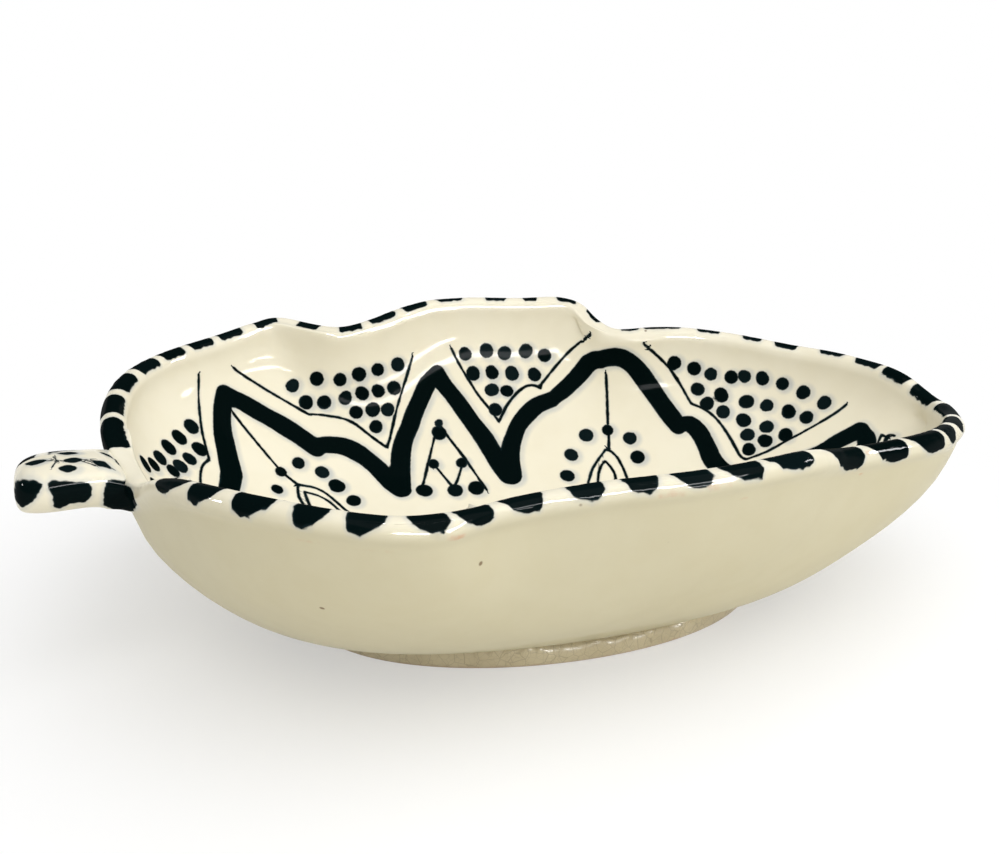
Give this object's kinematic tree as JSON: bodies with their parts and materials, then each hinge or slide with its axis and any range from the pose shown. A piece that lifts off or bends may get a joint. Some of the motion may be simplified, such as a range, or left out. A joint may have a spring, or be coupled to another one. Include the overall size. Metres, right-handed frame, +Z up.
{
  "type": "leaf dish",
  "caption": "Glazed earthenware dish pressed into a lobed leaf, with a rolled and notched rim, an oval foot ring and a short flat stem for a handle.",
  "frame": {"origin": "middle of the dish's bounding box, on the table plane the foot ring stands on", "axes": "+X along the leaf from the stem to the tip, +Y across it towards its far side, +Z up out of the bowl"},
  "size_m": [0.2341, 0.1609, 0.0607],
  "materials": {
    "ivory_glaze": "glossy ivory glaze over the whole bowl, painted in green-black",
    "crackled_foot_glaze": "yellowish glaze with fine crackle, worn where it stands",
    "stem_glaze": "glossy ivory glaze, painted in green-black"
  },
  "bodies": {
    "root": {"leaf_bowl": "ivory_glaze", "foot_ring": "crackled_foot_glaze", "leaf_stem": "stem_glaze"}
  },
  "joints": []
}
